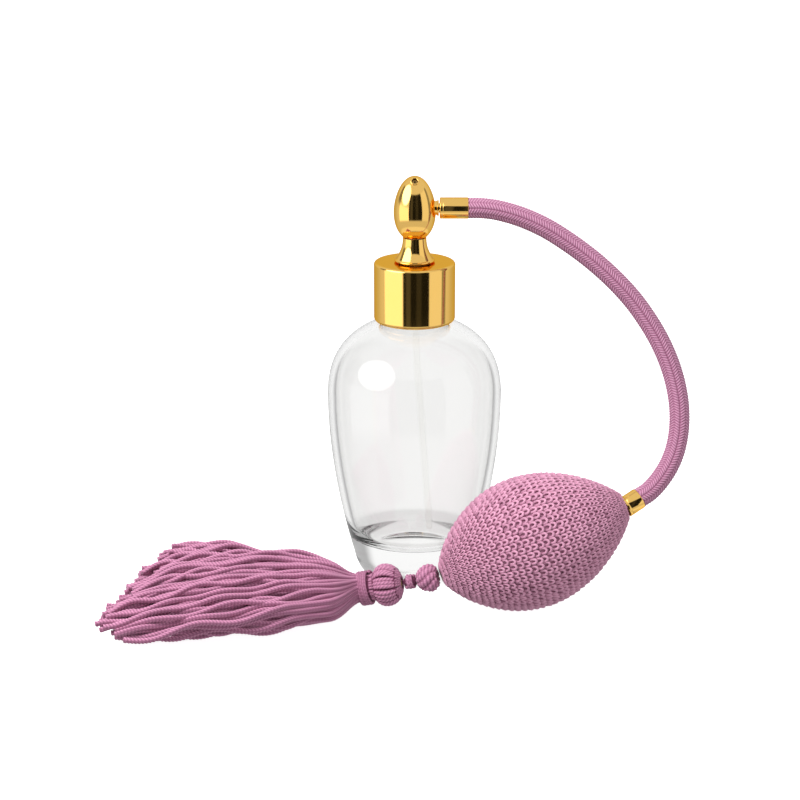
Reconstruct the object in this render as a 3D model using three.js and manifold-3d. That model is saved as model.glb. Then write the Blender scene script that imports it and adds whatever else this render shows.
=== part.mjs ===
// Refillable perfume atomiser: a glass bottle with a screw collar, a gold spray head,
// a braided air hose, a knit-covered squeeze bulb and a yarn tassel.
// Millimetres, +Z up. The origin is the centre of the bottle's flat foot.
// X runs from the tassel towards the bulb, and the spray leaves towards -Y.

import * as THREE from 'three';
import { mergeVertices } from 'three/addons/utils/BufferGeometryUtils.js';
import Module from 'manifold-3d';

const wasm = await Module();
wasm.setup();

// ---- driving dimensions ----

const gap = 0.3;                 // clearance between pieces that touch or run in each other

const bodyRadius = 30.1;         // glass body at its widest
const widestHeight = 66;
const heelRadius = 21.1;         // just above the rounded heel
const heelHeight = 8;
const footRadius = 14.5;         // flat ring that the bottle stands on
const glassWall = 2.75;
const floorHeight = 13.8;        // thick glass base
const floorRadius = 14.3;
const shoulderTop = 91.5;
const neckRadius = 10.8;
const neckBore = 8;
const neckTop = 106.7;
const threadPitch = 3;
const threadTurns = 1.5;
const threadHeight = 0.8;

const gasketThickness = 1.1;
const flangeThickness = 1.6;
const webThickness = 1.2;
const collarWall = 0.7;
const collarTopThickness = 0.8;
const collarRadius = 14;
const collarHeight = 20.8;
const collarEdge = 1;            // rounding of the collar's top edge
const collarCurl = 1.4;          // rolled-in lower lip

const spigotRadius = 3;          // the insert's post that the head turns on
const spigotBaseRadius = 5;
const dipRadius = 1.35;
const dipBore = 0.85;
const dipFloorGap = 2.5;

const stemFootRadius = 6.9;
const stemWaistRadius = 4.05;
const stemHeight = 8.15;
const headRadius = 7.2;
const headHeight = 21.05;
const headWidest = 8.65;         // above the head's lower edge
const headWall = 0.9;
const sprayRadius = 1;
const sprayTilt = THREE.MathUtils.degToRad(42);
const nippleHeight = 9.95;       // above the head's lower edge
const nippleRadius = 2.4;

const hoseRadius = 3.45;
const sleeveWall = 0.45;
const tubeWall = 0.6;
const ferruleRadius = 3.65;
const ferruleWall = 0.65;
const headFerruleLength = 9.7;
const bulbFerruleLength = 6;
const barbRadius = 1.6;
const airBore = 0.8;

const bulbRadius = 22.2;
const bulbLength = 70;
const coverThickness = 1.5;
const bladderThickness = 1.8;
const tailHole = 2.5;
const bulbTilt = THREE.MathUtils.degToRad(17.5);
const bulbYaw = THREE.MathUtils.degToRad(12);
const bulbX = bodyRadius + 10.9;
const bulbY = -33;
const ferruleAxis = new THREE.Vector3(0.83, 0.33, 0.45).normalize();

const valveRadius = 1.9;
const valveLength = 5;
const chamberRadius = 1.25;
const seatBore = 0.6;
const seatThickness = 1;
const ballRadius = 0.9;

const neckFromTail = new THREE.Vector2(-10.129, 1.581);
const neckHeight = 10.2;
const tasselAxis = new THREE.Vector3(-13.7, 2.6, -3.1).normalize();
const tasselHeadRadius = 7.4;
const tasselHeadHalf = 5.2;      // half length of the ball of yarn
const beadRadius = 4.6;
const tieRadius = 6.1;
const tieLength = 4;
const knotRadius = 4.5;
const wrapRadius = 2.65;
const wrapLength = 3.8;
const loopRadius = 1.2;

// Hose centre line, from the head's ferrule to the bulb's.
const hoseRoute = [
  [18.5, 0, 131.3], [23.5, 0, 131.2], [29, -0.2, 130.4], [36.5, -0.5, 128.2],
  [44.4, -1, 124.7], [51.8, -1.7, 120.2], [59, -2.7, 115.1], [65.5, -3.7, 109.7],
  [71, -4.8, 104.4], [75.5, -5.8, 99.3], [79.1, -6.9, 94.4], [82.2, -8, 89.6],
  [84.8, -9.2, 84.8], [87, -10.4, 79.8], [88.7, -11.6, 74.8], [89.9, -12.9, 69.8],
  [90.6, -14.2, 64.7], [90.7, -15.6, 59.6], [90.2, -17, 54.8], [89, -18.6, 50],
  [86.9, -20.3, 45.4], [83.9, -21.9, 41.1], [80.5, -23.4, 37.7], [76.97, -24.74, 35.64],
];

// ---- colours and finishes ----

function finish(color, roughness, metalness = 0) {
  return new THREE.MeshStandardMaterial({ color, roughness, metalness });
}
const glass = new THREE.MeshStandardMaterial({
  color: 0xf3f7f5, roughness: 0.03, transparent: true, opacity: 0.35,
});
const gold = finish(0xe4be6e, 0.12, 1);
const brass = finish(0xc9a45c, 0.3, 1);
const clearPlastic = finish(0xe9ecec, 0.35);
const whitePlastic = finish(0xf2f2ee, 0.4);
const rubber = finish(0x6d5a66, 0.7);
const seal = finish(0xd8d4cc, 0.6);
const mauveKnit = finish(0xba739e, 0.85);
const mauveYarn = finish(0xb46f99, 0.8);
const steel = finish(0xb9bcc0, 0.2, 1);
const wood = finish(0xc8a77a, 0.6);

// ---- helpers ----

// Turns [radius, height] points about Z. A closed outline runs up its outside and back
// down its inside.
function revolve(points, segments = 28) {
  const outline = points.map(([r, z]) => new THREE.Vector2(r, z));
  return new THREE.LatheGeometry(outline, segments).rotateX(Math.PI / 2);
}

function revolveClosed(points, segments) {
  return revolve([...points, points[0]], segments);
}

function curvePoints(from, control1, control2, to, count) {
  const ends = [from, control1, control2, to].map(([r, z]) => new THREE.Vector2(r, z));
  return new THREE.CubicBezierCurve(...ends).getPoints(count).map((p) => [p.x, p.y]);
}

function arcPoints(cx, cy, rx, ry, fromDeg, toDeg, count) {
  return Array.from({ length: count + 1 }, (_, i) => {
    const angle = THREE.MathUtils.degToRad(fromDeg + ((toDeg - fromDeg) * i) / count);
    return [cx + rx * Math.cos(angle), cy + ry * Math.sin(angle)];
  });
}

// Moves each point of an outline inwards along its normal by a wall's thickness.
function inset(points, wall) {
  return points.map(([r, z], i) => {
    const [r0, z0] = points[Math.max(i - 1, 0)];
    const [r1, z1] = points[Math.min(i + 1, points.length - 1)];
    const length = Math.hypot(r1 - r0, z1 - z0);
    return [r - (wall * (z1 - z0)) / length, z + (wall * (r1 - r0)) / length];
  });
}

function polygon(radius, sides) {
  return Array.from({ length: sides }, (_, i) => {
    const angle = (2 * Math.PI * i) / sides;
    return new THREE.Vector2(radius * Math.cos(angle), radius * Math.sin(angle));
  });
}

function sweep(points, radius, bore, sides, steps) {
  const section = new THREE.Shape(polygon(radius, sides));
  if (bore > 0) section.holes.push(new THREE.Path(polygon(bore, sides)));
  const extrudePath = new THREE.CatmullRomCurve3(points);
  return new THREE.ExtrudeGeometry(section, { steps, extrudePath, bevelEnabled: false });
}

function toSolid(geometry) {
  const bare = geometry.clone();
  bare.deleteAttribute('normal');
  bare.deleteAttribute('uv');
  const merged = mergeVertices(bare, 1e-4);
  const index = [];
  for (let i = 0; i < merged.index.count; i += 3) {
    const [a, b, c] = [0, 1, 2].map((k) => merged.index.getX(i + k));
    if (a !== b && b !== c && c !== a) index.push(a, b, c);
  }
  return new wasm.Manifold(new wasm.Mesh({
    numProp: 3,
    vertProperties: new Float32Array(merged.attributes.position.array),
    triVerts: new Uint32Array(index),
  }));
}

function toGeometry(solid) {
  const mesh = solid.getMesh();
  const geometry = new THREE.BufferGeometry();
  geometry.setAttribute('position', new THREE.BufferAttribute(mesh.vertProperties, 3));
  geometry.setIndex(new THREE.BufferAttribute(mesh.triVerts, 1));
  geometry.computeVertexNormals();
  return geometry;
}

function piece(name, geometry, material) {
  const mesh = new THREE.Mesh(geometry, material);
  mesh.name = name;
  return mesh;
}

// A group at `origin` whose +Z points along `direction`.
function aimed(origin, direction, ...children) {
  const group = new THREE.Group();
  group.position.copy(origin);
  group.quaternion.setFromUnitVectors(new THREE.Vector3(0, 0, 1), direction);
  group.add(...children);
  return group;
}

// A rounded ridge that climbs round the Z axis.
function threadRidge(radius, ridgeRadius, startHeight) {
  const stepsPerTurn = 12;
  const count = Math.round(threadTurns * stepsPerTurn);
  const helix = Array.from({ length: count + 1 }, (_, i) => {
    const angle = (2 * Math.PI * i) / stepsPerTurn;
    const height = startHeight + (threadPitch * i) / stepsPerTurn;
    return new THREE.Vector3(radius * Math.cos(angle), radius * Math.sin(angle), height);
  });
  return sweep(helix, ridgeRadius, 0, 6, count);
}

// ---- closure levels, from the glass lip upwards ----

const gasketBottom = neckTop + gap;
const flangeBottom = gasketBottom + gasketThickness + gap;
const webBottom = flangeBottom + flangeThickness + gap;
const collarTop = webBottom + webThickness + gap + collarTopThickness;
const collarBottom = collarTop - collarHeight;
const stemBottom = collarTop + gap;
const headBottom = stemBottom + stemHeight + gap;
const headTop = headBottom + headHeight;
const nippleZ = headBottom + nippleHeight;
const postHole = spigotBaseRadius + gap;
const linerRadius = collarRadius - collarWall - gap;
const linerWall = 0.7;
const threadBottom = collarBottom + 4.7;
const crestRadius = neckRadius + threadHeight;

// ---- bottle ----

function bottleGeometry() {
  const heel = curvePoints([footRadius, 0], [footRadius + 3.6, 0.1],
    [heelRadius - 0.9, 3.4], [heelRadius, heelHeight], 4);
  const flank = curvePoints([heelRadius, heelHeight], [bodyRadius - 4.3, heelHeight + 16],
    [bodyRadius, widestHeight - 21], [bodyRadius, widestHeight], 6);
  const shoulder = curvePoints([bodyRadius, widestHeight], [bodyRadius, shoulderTop - 11.5],
    [neckRadius + 12.2, shoulderTop - 3.9], [neckRadius + 1.4, shoulderTop], 7);
  const outside = [...heel, ...flank.slice(1), ...shoulder.slice(1)];
  const neck = [
    [neckRadius, shoulderTop + 1.3], [neckRadius, neckTop - 2.4],
    [neckRadius + 0.5, neckTop - 2], [neckRadius + 0.5, neckTop - 0.5],
    [neckRadius, neckTop], [neckBore + 0.4, neckTop], [neckBore, neckTop - 0.4],
  ];
  const cavityLow = floorHeight + 7;
  const cavity = inset(outside, glassWall)
    .filter(([r, z], i) => z > cavityLow && i > heel.length && r > neckBore + 1);
  const [lowRadius, lowHeight] = cavity[0];
  const floorCurve = curvePoints([floorRadius, floorHeight], [floorRadius + 4.2, floorHeight],
    [lowRadius - 1.4, floorHeight + 1.6], [lowRadius, lowHeight], 4).slice(0, -1);
  const profile = [
    [0, 0], ...outside, ...neck, [neckBore, shoulderTop - 1.5],
    ...cavity.reverse(), ...floorCurve.reverse(), [0, floorHeight],
  ];
  const blank = toSolid(revolve(profile, 32));
  return toGeometry(blank.add(toSolid(threadRidge(neckRadius, threadHeight, threadBottom))));
}

// ---- closure ----

function gasketGeometry() {
  return revolveClosed([
    [neckBore + 0.4, gasketBottom], [neckRadius + 0.3, gasketBottom],
    [neckRadius + 0.3, gasketBottom + gasketThickness],
    [neckBore + 0.4, gasketBottom + gasketThickness],
  ], 24);
}

const plugRadius = neckBore - gap;
const plugBottom = neckTop - 6.2;
const bossBottom = plugBottom - 1.5;
const flangeTop = flangeBottom + flangeThickness;
const spigotTop = headBottom + 1.6;
const grooveBottom = stemBottom + 4;
const grooveWidth = 1.6;
const grooveRadius = spigotRadius - 0.8;
const liquidRadius = 0.9;
const postBore = liquidRadius + gap;
const dipTop = collarTop - 0.9;

function insertGeometry() {
  return revolveClosed([
    [dipRadius + gap, bossBottom], [dipRadius + 1.9, bossBottom],
    [dipRadius + 1.9, neckTop + 0.5], [plugRadius - 1.1, neckTop + 0.5],
    [plugRadius - 1.1, plugBottom], [plugRadius, plugBottom], [plugRadius, flangeBottom],
    [neckRadius + 0.5, flangeBottom], [neckRadius + 0.5, flangeTop],
    [spigotBaseRadius, flangeTop], [spigotBaseRadius, stemBottom],
    [spigotRadius, stemBottom + 0.7], [spigotRadius, grooveBottom],
    [grooveRadius, grooveBottom], [grooveRadius, grooveBottom + grooveWidth],
    [spigotRadius, grooveBottom + grooveWidth], [spigotRadius, spigotTop],
    [postBore, spigotTop], [postBore, dipTop + gap], [dipRadius + gap, dipTop + gap],
  ], 20);
}

function sealRingGeometry() {
  const middle = grooveBottom + grooveWidth / 2;
  const halfWidth = grooveWidth / 2 - gap;
  const inner = grooveRadius + gap;
  const outer = spigotRadius + gap / 3;
  return revolveClosed(arcPoints((inner + outer) / 2, middle, (outer - inner) / 2,
    halfWidth, -90, 225, 7), 16);
}

function dipTubeGeometry() {
  const bottom = floorHeight + dipFloorGap;
  const path = [[0, dipTop], [0, bossBottom - 1], [0.9, 78], [3, 50], [5.4, bottom]]
    .map(([x, z]) => new THREE.Vector3(x, 0, z));
  return sweep(path, dipRadius, dipBore, 8, 12);
}

function collarShellGeometry() {
  const inner = collarRadius - collarWall;
  const lip = collarRadius - collarCurl;
  return revolveClosed([
    [lip, collarBottom],
    ...arcPoints(lip, collarBottom + collarCurl, collarCurl, collarCurl, -70, 0, 4),
    ...arcPoints(collarRadius - collarEdge, collarTop - collarEdge, collarEdge, collarEdge,
      0, 90, 4),
    [postHole, collarTop], [postHole, collarTop - collarTopThickness],
    [inner, collarTop - collarTopThickness], [inner, collarBottom + collarCurl + 0.3],
    [lip, collarBottom + collarWall],
  ], 32);
}

function collarLinerGeometry() {
  const root = linerRadius - linerWall;
  const bottom = collarBottom + 2.4;
  const blank = revolveClosed([
    [root, bottom], [linerRadius, bottom], [linerRadius, webBottom + webThickness],
    [postHole, webBottom + webThickness], [postHole, webBottom], [root, webBottom],
  ], 24);
  const ridge = threadRidge(root + 0.1, root + 0.1 - crestRadius - gap, threadBottom + 3);
  return toGeometry(toSolid(blank).add(toSolid(ridge)));
}

// ---- head ----

function stemGeometry() {
  const top = stemBottom + stemHeight;
  const bore = spigotRadius + gap;
  return revolveClosed([
    [postHole, stemBottom], [stemFootRadius, stemBottom],
    [stemFootRadius, stemBottom + 0.4],
    ...curvePoints([stemFootRadius - 0.4, stemBottom + 0.8], [stemFootRadius - 1.6, top - 5.2],
      [stemWaistRadius, top - 3.4], [stemWaistRadius, top], 7),
    [bore, top], [bore, stemBottom + 1.4], [postHole, stemBottom + 0.4],
  ], 22);
}

function headOutline() {
  return [
    ...curvePoints([stemWaistRadius, headBottom], [headRadius - 1.2, headBottom + 1.8],
      [headRadius, headBottom + 4.6], [headRadius, headBottom + headWidest], 6),
    ...curvePoints([headRadius, headBottom + headWidest],
      [headRadius, headBottom + headWidest + 4.5], [headRadius - 2.4, headTop],
      [0, headTop], 8).slice(1),
  ];
}

// Where the spray leaves: a point on the head and the way it faces.
const sprayAxis = new THREE.Vector3(0, -Math.cos(sprayTilt), Math.sin(sprayTilt));
const sprayPoint = new THREE.Vector3(0, -3, headTop - 1.25);

function headShellGeometry() {
  const outside = headOutline();
  const bore = spigotRadius + gap;
  const inside = inset(outside, headWall)
    .filter(([r, z]) => z > headBottom + 1 && r > 1.2 && z < headTop - headWall - 0.2);
  const profile = [
    [bore, headBottom], ...outside, [0, headTop - headWall],
    ...inside.reverse(), [bore, headBottom + 0.9], [bore, headBottom],
  ];
  const shell = toSolid(revolve(profile, 24));
  const nippleHole = new THREE.CylinderGeometry(nippleRadius + gap, nippleRadius + gap,
    2 * headRadius, 20).rotateZ(Math.PI / 2).translate(headRadius, 0, nippleZ);
  const sprayHole = aimed(sprayPoint, sprayAxis, piece('hole',
    new THREE.CylinderGeometry(sprayRadius + gap, sprayRadius + gap, 5, 16)
      .rotateX(Math.PI / 2)));
  sprayHole.updateMatrixWorld();
  const sprayCut = sprayHole.children[0].geometry.applyMatrix4(sprayHole.matrixWorld);
  return toGeometry(shell.subtract(toSolid(nippleHole)).subtract(toSolid(sprayCut)));
}

function liquidTubeGeometry() {
  const bottom = spigotTop - 8;
  const top = headTop - 5.4;
  return revolveClosed([
    [0.5, bottom], [liquidRadius, bottom], [liquidRadius, top], [0.5, top],
  ], 14);
}

function nozzleGeometry() {
  const front = -0.4;
  const back = -4.2;
  return revolveClosed([
    [0.35, back], [sprayRadius, back], [sprayRadius, front - 0.2],
    [sprayRadius - 0.2, front], [0.35, front],
  ], 16);
}

// A spout with two barbs that a hose is pushed over, from one height to another.
function barbPoints(from, to) {
  const barb = 1.2;
  return [
    [barbRadius, from], [barbRadius, to - 2 * barb],
    [barbRadius + 0.2, to - 2 * barb], [barbRadius, to - barb],
    [barbRadius + 0.2, to - barb], [barbRadius - 0.3, to],
  ];
}

const ferruleStart = headRadius + 1.3;

function nippleGeometry() {
  return revolveClosed([
    [airBore, headRadius - 2.2], [nippleRadius, headRadius - 2.2],
    [nippleRadius, ferruleStart - gap], ...barbPoints(ferruleStart - gap, ferruleStart + 8),
    [airBore, ferruleStart + 8],
  ], 14);
}

function ferruleGeometry(start, length) {
  const end = start + length;
  const edge = 0.3;
  const hole = barbRadius + 0.2 + gap;
  return revolveClosed([
    [hole, start], [ferruleRadius - edge, start], [ferruleRadius, start + edge],
    [ferruleRadius, end - edge], [ferruleRadius - edge, end],
    [ferruleRadius - ferruleWall, end], [ferruleRadius - ferruleWall, start + 0.6],
    [hole, start + 0.6],
  ], 18);
}

// ---- hose ----

const bulbAxis = new THREE.Vector3(
  Math.cos(bulbTilt) * Math.cos(bulbYaw), Math.cos(bulbTilt) * Math.sin(bulbYaw),
  Math.sin(bulbTilt));
const hosePoints = hoseRoute.map((p) => new THREE.Vector3(...p));

function hoseSleeveGeometry() {
  return sweep(hosePoints, hoseRadius, hoseRadius - sleeveWall, 10, 24);
}

// The rubber tube runs on inside both ferrules, over the barbs.
function hoseTubeGeometry() {
  const outer = hoseRadius - sleeveWall - gap;
  const atHead = new THREE.Vector3(ferruleStart + 0.6 + gap, 0, nippleZ);
  const last = hosePoints[hosePoints.length - 1];
  const atBulb = last.clone().addScaledVector(ferruleAxis, -bulbFerruleLength + 1.2);
  const path = [atHead, ...hosePoints.slice(1, -1), last, atBulb];
  return sweep(path, outer, outer - tubeWall, 8, 26);
}

// ---- bulb ----

// An egg of revolution, fuller towards the hose. fraction runs from the tail to the hose.
const eggSkew = 0.93;
const eggFullness = 0.67;

function eggRadius(fraction, radius) {
  return radius * Math.sin(Math.PI * fraction ** eggSkew) ** eggFullness;
}

// The fraction at which the egg's radius equals a hole's, at the tail or at the hose end.
function eggFraction(hole, radius, atTail) {
  const turn = Math.asin((hole / radius) ** (1 / eggFullness)) / Math.PI;
  return (atTail ? turn : 1 - turn) ** (1 / eggSkew);
}

function eggPoints(radius, length, hoseHole, count) {
  const start = eggFraction(tailHole, radius, true);
  const end = eggFraction(hoseHole, radius, false);
  return Array.from({ length: count + 1 }, (_, i) => {
    const ease = (1 - Math.cos((Math.PI * i) / count)) / 2;
    const fraction = start + (end - start) * ease;
    return [eggRadius(fraction, radius), (fraction - 0.5) * length];
  });
}

function eggShell(radius, length, wall, hoseHole, segments, count) {
  const outside = eggPoints(radius, length, hoseHole, count);
  const inside = eggPoints(radius - wall, length - 2 * wall, hoseHole, count - 2);
  return revolveClosed([...outside, ...inside.reverse()], segments);
}

// The bulb lies on the ground plane: its centre is as high as its lowest flank needs.
function bulbCentreHeight() {
  const outside = eggPoints(bulbRadius, bulbLength, tailHole, 60);
  const drops = outside.map(([r, s]) => r * Math.cos(bulbTilt) - s * Math.sin(bulbTilt));
  return Math.max(...drops);
}
const bulbCentre = new THREE.Vector3(bulbX, bulbY, bulbCentreHeight());
const bulbTip = bulbCentre.clone().addScaledVector(bulbAxis, bulbLength / 2);
const bulbTail = bulbCentre.clone().addScaledVector(bulbAxis, -bulbLength / 2 + 0.3);
const tasselNeck = new THREE.Vector3(bulbTail.x + neckFromTail.x,
  bulbTail.y + neckFromTail.y, neckHeight);

function coverGeometry() {
  return eggShell(bulbRadius, bulbLength, coverThickness, ferruleRadius + 0.95, 24, 12);
}

function bladderGeometry() {
  const radius = bulbRadius - coverThickness - gap;
  const length = bulbLength - 2 * (coverThickness + gap);
  return eggShell(radius, length, bladderThickness, valveRadius + 1.7, 16, 10);
}

// A ball valve: the seat is at the start, the ball lifts away from it, and a lip stops it.
function valveGeometry(spout) {
  const lipBore = airBore;
  const body = [[seatBore, 0], [valveRadius, 0], [valveRadius, valveLength]];
  const end = spout > 0 ? barbPoints(valveLength, valveLength + spout) : [];
  return revolveClosed([
    ...body, ...end, [lipBore, valveLength + spout], [lipBore, valveLength - 0.8],
    [chamberRadius, valveLength - 0.8], [chamberRadius, seatThickness],
    [seatBore, seatThickness],
  ], 14);
}

function ball(name) {
  const mesh = piece(name, new THREE.SphereGeometry(ballRadius, 10, 7), steel);
  mesh.position.z = seatThickness + gap / 2 + ballRadius;
  return mesh;
}

// ---- tassel ----

// The wrap is a ball about the pivot, so the knot and the head both clear it as they turn.
const wrapHalf = wrapLength / 2;
const pivotClearance = wrapRadius + gap;
const headCentre = pivotClearance + tasselHeadHalf;
const headEnd = headCentre + tasselHeadHalf;
const tieStart = headEnd + gap;
const tieBore = tieRadius - 0.8;

function knotGeometry(length) {
  return revolve([
    [0, 0], [2.4, 0],
    ...curvePoints([3.4, 0.5], [knotRadius + 0.6, 1.4], [knotRadius + 0.7, length - 2],
      [2.6, length - 0.5], 7),
    [2, length], [0, length],
  ], 18);
}

function wrapGeometry() {
  const endDeg = THREE.MathUtils.radToDeg(Math.asin(wrapHalf / wrapRadius));
  return revolveClosed([
    [loopRadius + gap, -wrapHalf],
    ...arcPoints(0, 0, wrapRadius, wrapRadius, -endDeg, endDeg, 6),
    [loopRadius + gap, wrapHalf],
  ], 16);
}

function loopGeometry() {
  return new THREE.CylinderGeometry(loopRadius, loopRadius, wrapLength + 2 * gap, 12)
    .rotateX(Math.PI / 2);
}

function tasselHeadGeometry() {
  const cavity = beadRadius + gap;
  const mouth = 4;
  const mouthDeg = THREE.MathUtils.radToDeg(Math.acos(mouth / cavity));
  const inside = arcPoints(0, headCentre - 0.6, cavity, cavity, mouthDeg, -90, 6);
  return revolve([
    [0, headCentre - tasselHeadHalf], [2.3, headCentre - tasselHeadHalf],
    ...arcPoints(0, headCentre, tasselHeadRadius, tasselHeadHalf + 0.4, -66, 58, 8),
    [tieBore - 0.5, headEnd], [mouth, headEnd], ...inside.slice(0, -1),
    [0, headCentre - 0.6 - cavity],
  ], 20);
}

function beadGeometry() {
  return new THREE.SphereGeometry(beadRadius, 14, 8).translate(0, 0, headCentre - 0.6);
}

function tieGeometry() {
  const windings = 3;
  const pitch = tieLength / windings;
  const outside = Array.from({ length: windings }, (_, i) => arcPoints(
    tieRadius - pitch / 2, tieStart + pitch * (i + 0.5), pitch / 2, pitch / 2, -75, 75, 3));
  return revolveClosed([
    [tieBore, tieStart], ...outside.flat(), [tieBore, tieStart + tieLength],
  ], 20);
}

// The skirt of yarn lies on the ground plane and fans out from the tie's bore. Each
// station is the middle of a cross-section with its half width and half height as vectors.
function skirtStations() {
  const throat = tieBore - gap;
  const side = new THREE.Vector3(-tasselAxis.y, tasselAxis.x, 0).normalize().negate();
  const rise = side.clone().cross(tasselAxis);
  const inTie = [tieStart, tieStart + tieLength + 0.4].map((along) => ({
    centre: tasselNeck.clone().addScaledVector(tasselAxis, along),
    side: side.clone().multiplyScalar(throat),
    rise: rise.clone().multiplyScalar(throat),
  }));
  const onGround = [
    [-25.5, -3.7, 18, 8.3], [-43.5, -6.2, 29, 9.3], [-63.5, -5.7, 35, 9.3],
    [-80.5, -2.7, 41, 8.4], [-92.5, -4.7, 36, 7.2], [-99.5, -7.7, 27, 5],
  ].map(([x, y, halfWidth, halfHeight]) => ({
    centre: new THREE.Vector3(tasselNeck.x + x, tasselNeck.y + y, halfHeight + 0.1),
    side: new THREE.Vector3(0, halfWidth, 0),
    rise: new THREE.Vector3(0, 0, halfHeight),
  }));
  return [...inTie, ...onGround];
}

function skirtGeometry() {
  const stations = skirtStations();
  const sides = 22;
  const position = [];
  for (const { centre, side, rise } of stations) {
    for (let i = 0; i < sides; i += 1) {
      const angle = (2 * Math.PI * i) / sides;
      const point = centre.clone().addScaledVector(side, Math.cos(angle))
        .addScaledVector(rise, Math.sin(angle));
      position.push(...point.toArray());
    }
  }
  const firstCentre = position.length / 3;
  const lastCentre = firstCentre + 1;
  position.push(...stations[0].centre.toArray());
  position.push(...stations[stations.length - 1].centre.toArray());
  const index = [];
  for (let i = 0; i < sides; i += 1) {
    const next = (i + 1) % sides;
    for (let ring = 0; ring < stations.length - 1; ring += 1) {
      const [a, b] = [ring * sides + i, ring * sides + next];
      index.push(a, a + sides, b, b, a + sides, b + sides);
    }
    const lastRing = (stations.length - 1) * sides;
    index.push(firstCentre, i, next, lastCentre, lastRing + next, lastRing + i);
  }
  const geometry = new THREE.BufferGeometry();
  geometry.setAttribute('position', new THREE.Float32BufferAttribute(position, 3));
  geometry.setIndex(index);
  geometry.computeVertexNormals();
  return geometry;
}

// ---- assembly ----

const right = new THREE.Vector3(1, 0, 0);
const nippleOrigin = new THREE.Vector3(0, 0, nippleZ);

const closure = new THREE.Group();
closure.add(
  piece('neck_gasket', gasketGeometry(), seal),
  piece('spray_insert', insertGeometry(), whitePlastic),
  piece('spigot_seal_ring', sealRingGeometry(), rubber),
  piece('dip_tube', dipTubeGeometry(), clearPlastic),
  piece('collar_shell', collarShellGeometry(), gold),
  piece('collar_liner', collarLinerGeometry(), whitePlastic),
);

const head = new THREE.Group();
head.add(
  piece('head_stem', stemGeometry(), gold),
  piece('head_shell', headShellGeometry(), gold),
  piece('liquid_tube', liquidTubeGeometry(), steel),
  aimed(sprayPoint, sprayAxis, piece('spray_nozzle', nozzleGeometry(), brass)),
  aimed(nippleOrigin, right,
    piece('air_nipple', nippleGeometry(), gold),
    piece('head_ferrule', ferruleGeometry(ferruleStart, headFerruleLength), gold)),
);

const hose = new THREE.Group();
hose.add(
  piece('hose_tube', hoseTubeGeometry(), rubber),
  piece('hose_sleeve', hoseSleeveGeometry(), mauveKnit),
);

const hoseEnd = hosePoints[hosePoints.length - 1];
const valveStart = -bulbFerruleLength - gap - 3;
const bulb = new THREE.Group();
bulb.add(
  aimed(bulbCentre, bulbAxis,
    piece('bulb_bladder', bladderGeometry(), rubber),
    piece('bulb_cover', coverGeometry(), mauveKnit)),
  aimed(hoseEnd, ferruleAxis,
    piece('bulb_ferrule', ferruleGeometry(-bulbFerruleLength - gap, bulbFerruleLength), gold)),
  aimed(hoseEnd.clone().addScaledVector(ferruleAxis, valveStart - 2.4), ferruleAxis,
    piece('outlet_valve', valveGeometry(7), brass), ball('outlet_ball')),
);

const tailAxis = tasselNeck.clone().sub(bulbTail).normalize();
const knotStart = bulbTail.clone().addScaledVector(tailAxis, gap + 0.9);
const knotLength = knotStart.distanceTo(tasselNeck) - pivotClearance;
const tail = new THREE.Group();
tail.add(
  aimed(bulbTail.clone().addScaledVector(bulbAxis, 0.4), bulbAxis,
    piece('intake_valve', valveGeometry(0), brass), ball('intake_ball')),
  aimed(knotStart, tailAxis, piece('tail_knot', knotGeometry(knotLength), mauveYarn)),
);

const tassel = new THREE.Group();
tassel.add(
  aimed(tasselNeck, tasselAxis,
    piece('tassel_neck_wrap', wrapGeometry(), mauveYarn),
    piece('tassel_loop', loopGeometry(), mauveYarn),
    piece('tassel_head', tasselHeadGeometry(), mauveYarn),
    piece('tassel_bead', beadGeometry(), wood),
    piece('tassel_tie', tieGeometry(), mauveYarn)),
  piece('tassel_skirt', skirtGeometry(), mauveYarn),
);

const atomiser = new THREE.Group();
atomiser.add(piece('glass_bottle', bottleGeometry(), glass), closure, head, hose, bulb,
  tail, tassel);

export default atomiser;
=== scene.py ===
import math

import bmesh
import bpy
import numpy as np
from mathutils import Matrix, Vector


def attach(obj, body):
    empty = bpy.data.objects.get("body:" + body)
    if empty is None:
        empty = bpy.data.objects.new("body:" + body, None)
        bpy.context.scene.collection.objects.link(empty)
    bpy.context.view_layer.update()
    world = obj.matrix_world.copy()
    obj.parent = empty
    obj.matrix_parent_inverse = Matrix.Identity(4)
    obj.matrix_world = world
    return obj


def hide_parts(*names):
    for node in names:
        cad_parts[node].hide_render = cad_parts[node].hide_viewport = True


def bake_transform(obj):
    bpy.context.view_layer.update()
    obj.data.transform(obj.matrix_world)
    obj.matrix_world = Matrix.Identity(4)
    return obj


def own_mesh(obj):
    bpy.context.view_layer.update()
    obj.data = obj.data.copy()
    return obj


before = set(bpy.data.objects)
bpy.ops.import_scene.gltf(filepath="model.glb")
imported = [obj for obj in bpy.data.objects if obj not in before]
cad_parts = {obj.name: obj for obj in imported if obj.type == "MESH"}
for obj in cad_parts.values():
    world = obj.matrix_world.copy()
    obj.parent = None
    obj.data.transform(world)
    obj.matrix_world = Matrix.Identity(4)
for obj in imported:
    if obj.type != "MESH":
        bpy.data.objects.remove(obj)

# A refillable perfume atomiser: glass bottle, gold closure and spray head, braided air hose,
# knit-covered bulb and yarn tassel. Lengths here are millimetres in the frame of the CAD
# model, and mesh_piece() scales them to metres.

MM = 0.001
TURN = 2 * math.pi
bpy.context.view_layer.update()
random = np.random.default_rng(11)

# ---- driving dimensions ----

GAP = 0.3                     # clearance that the CAD pieces keep to each other

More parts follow.
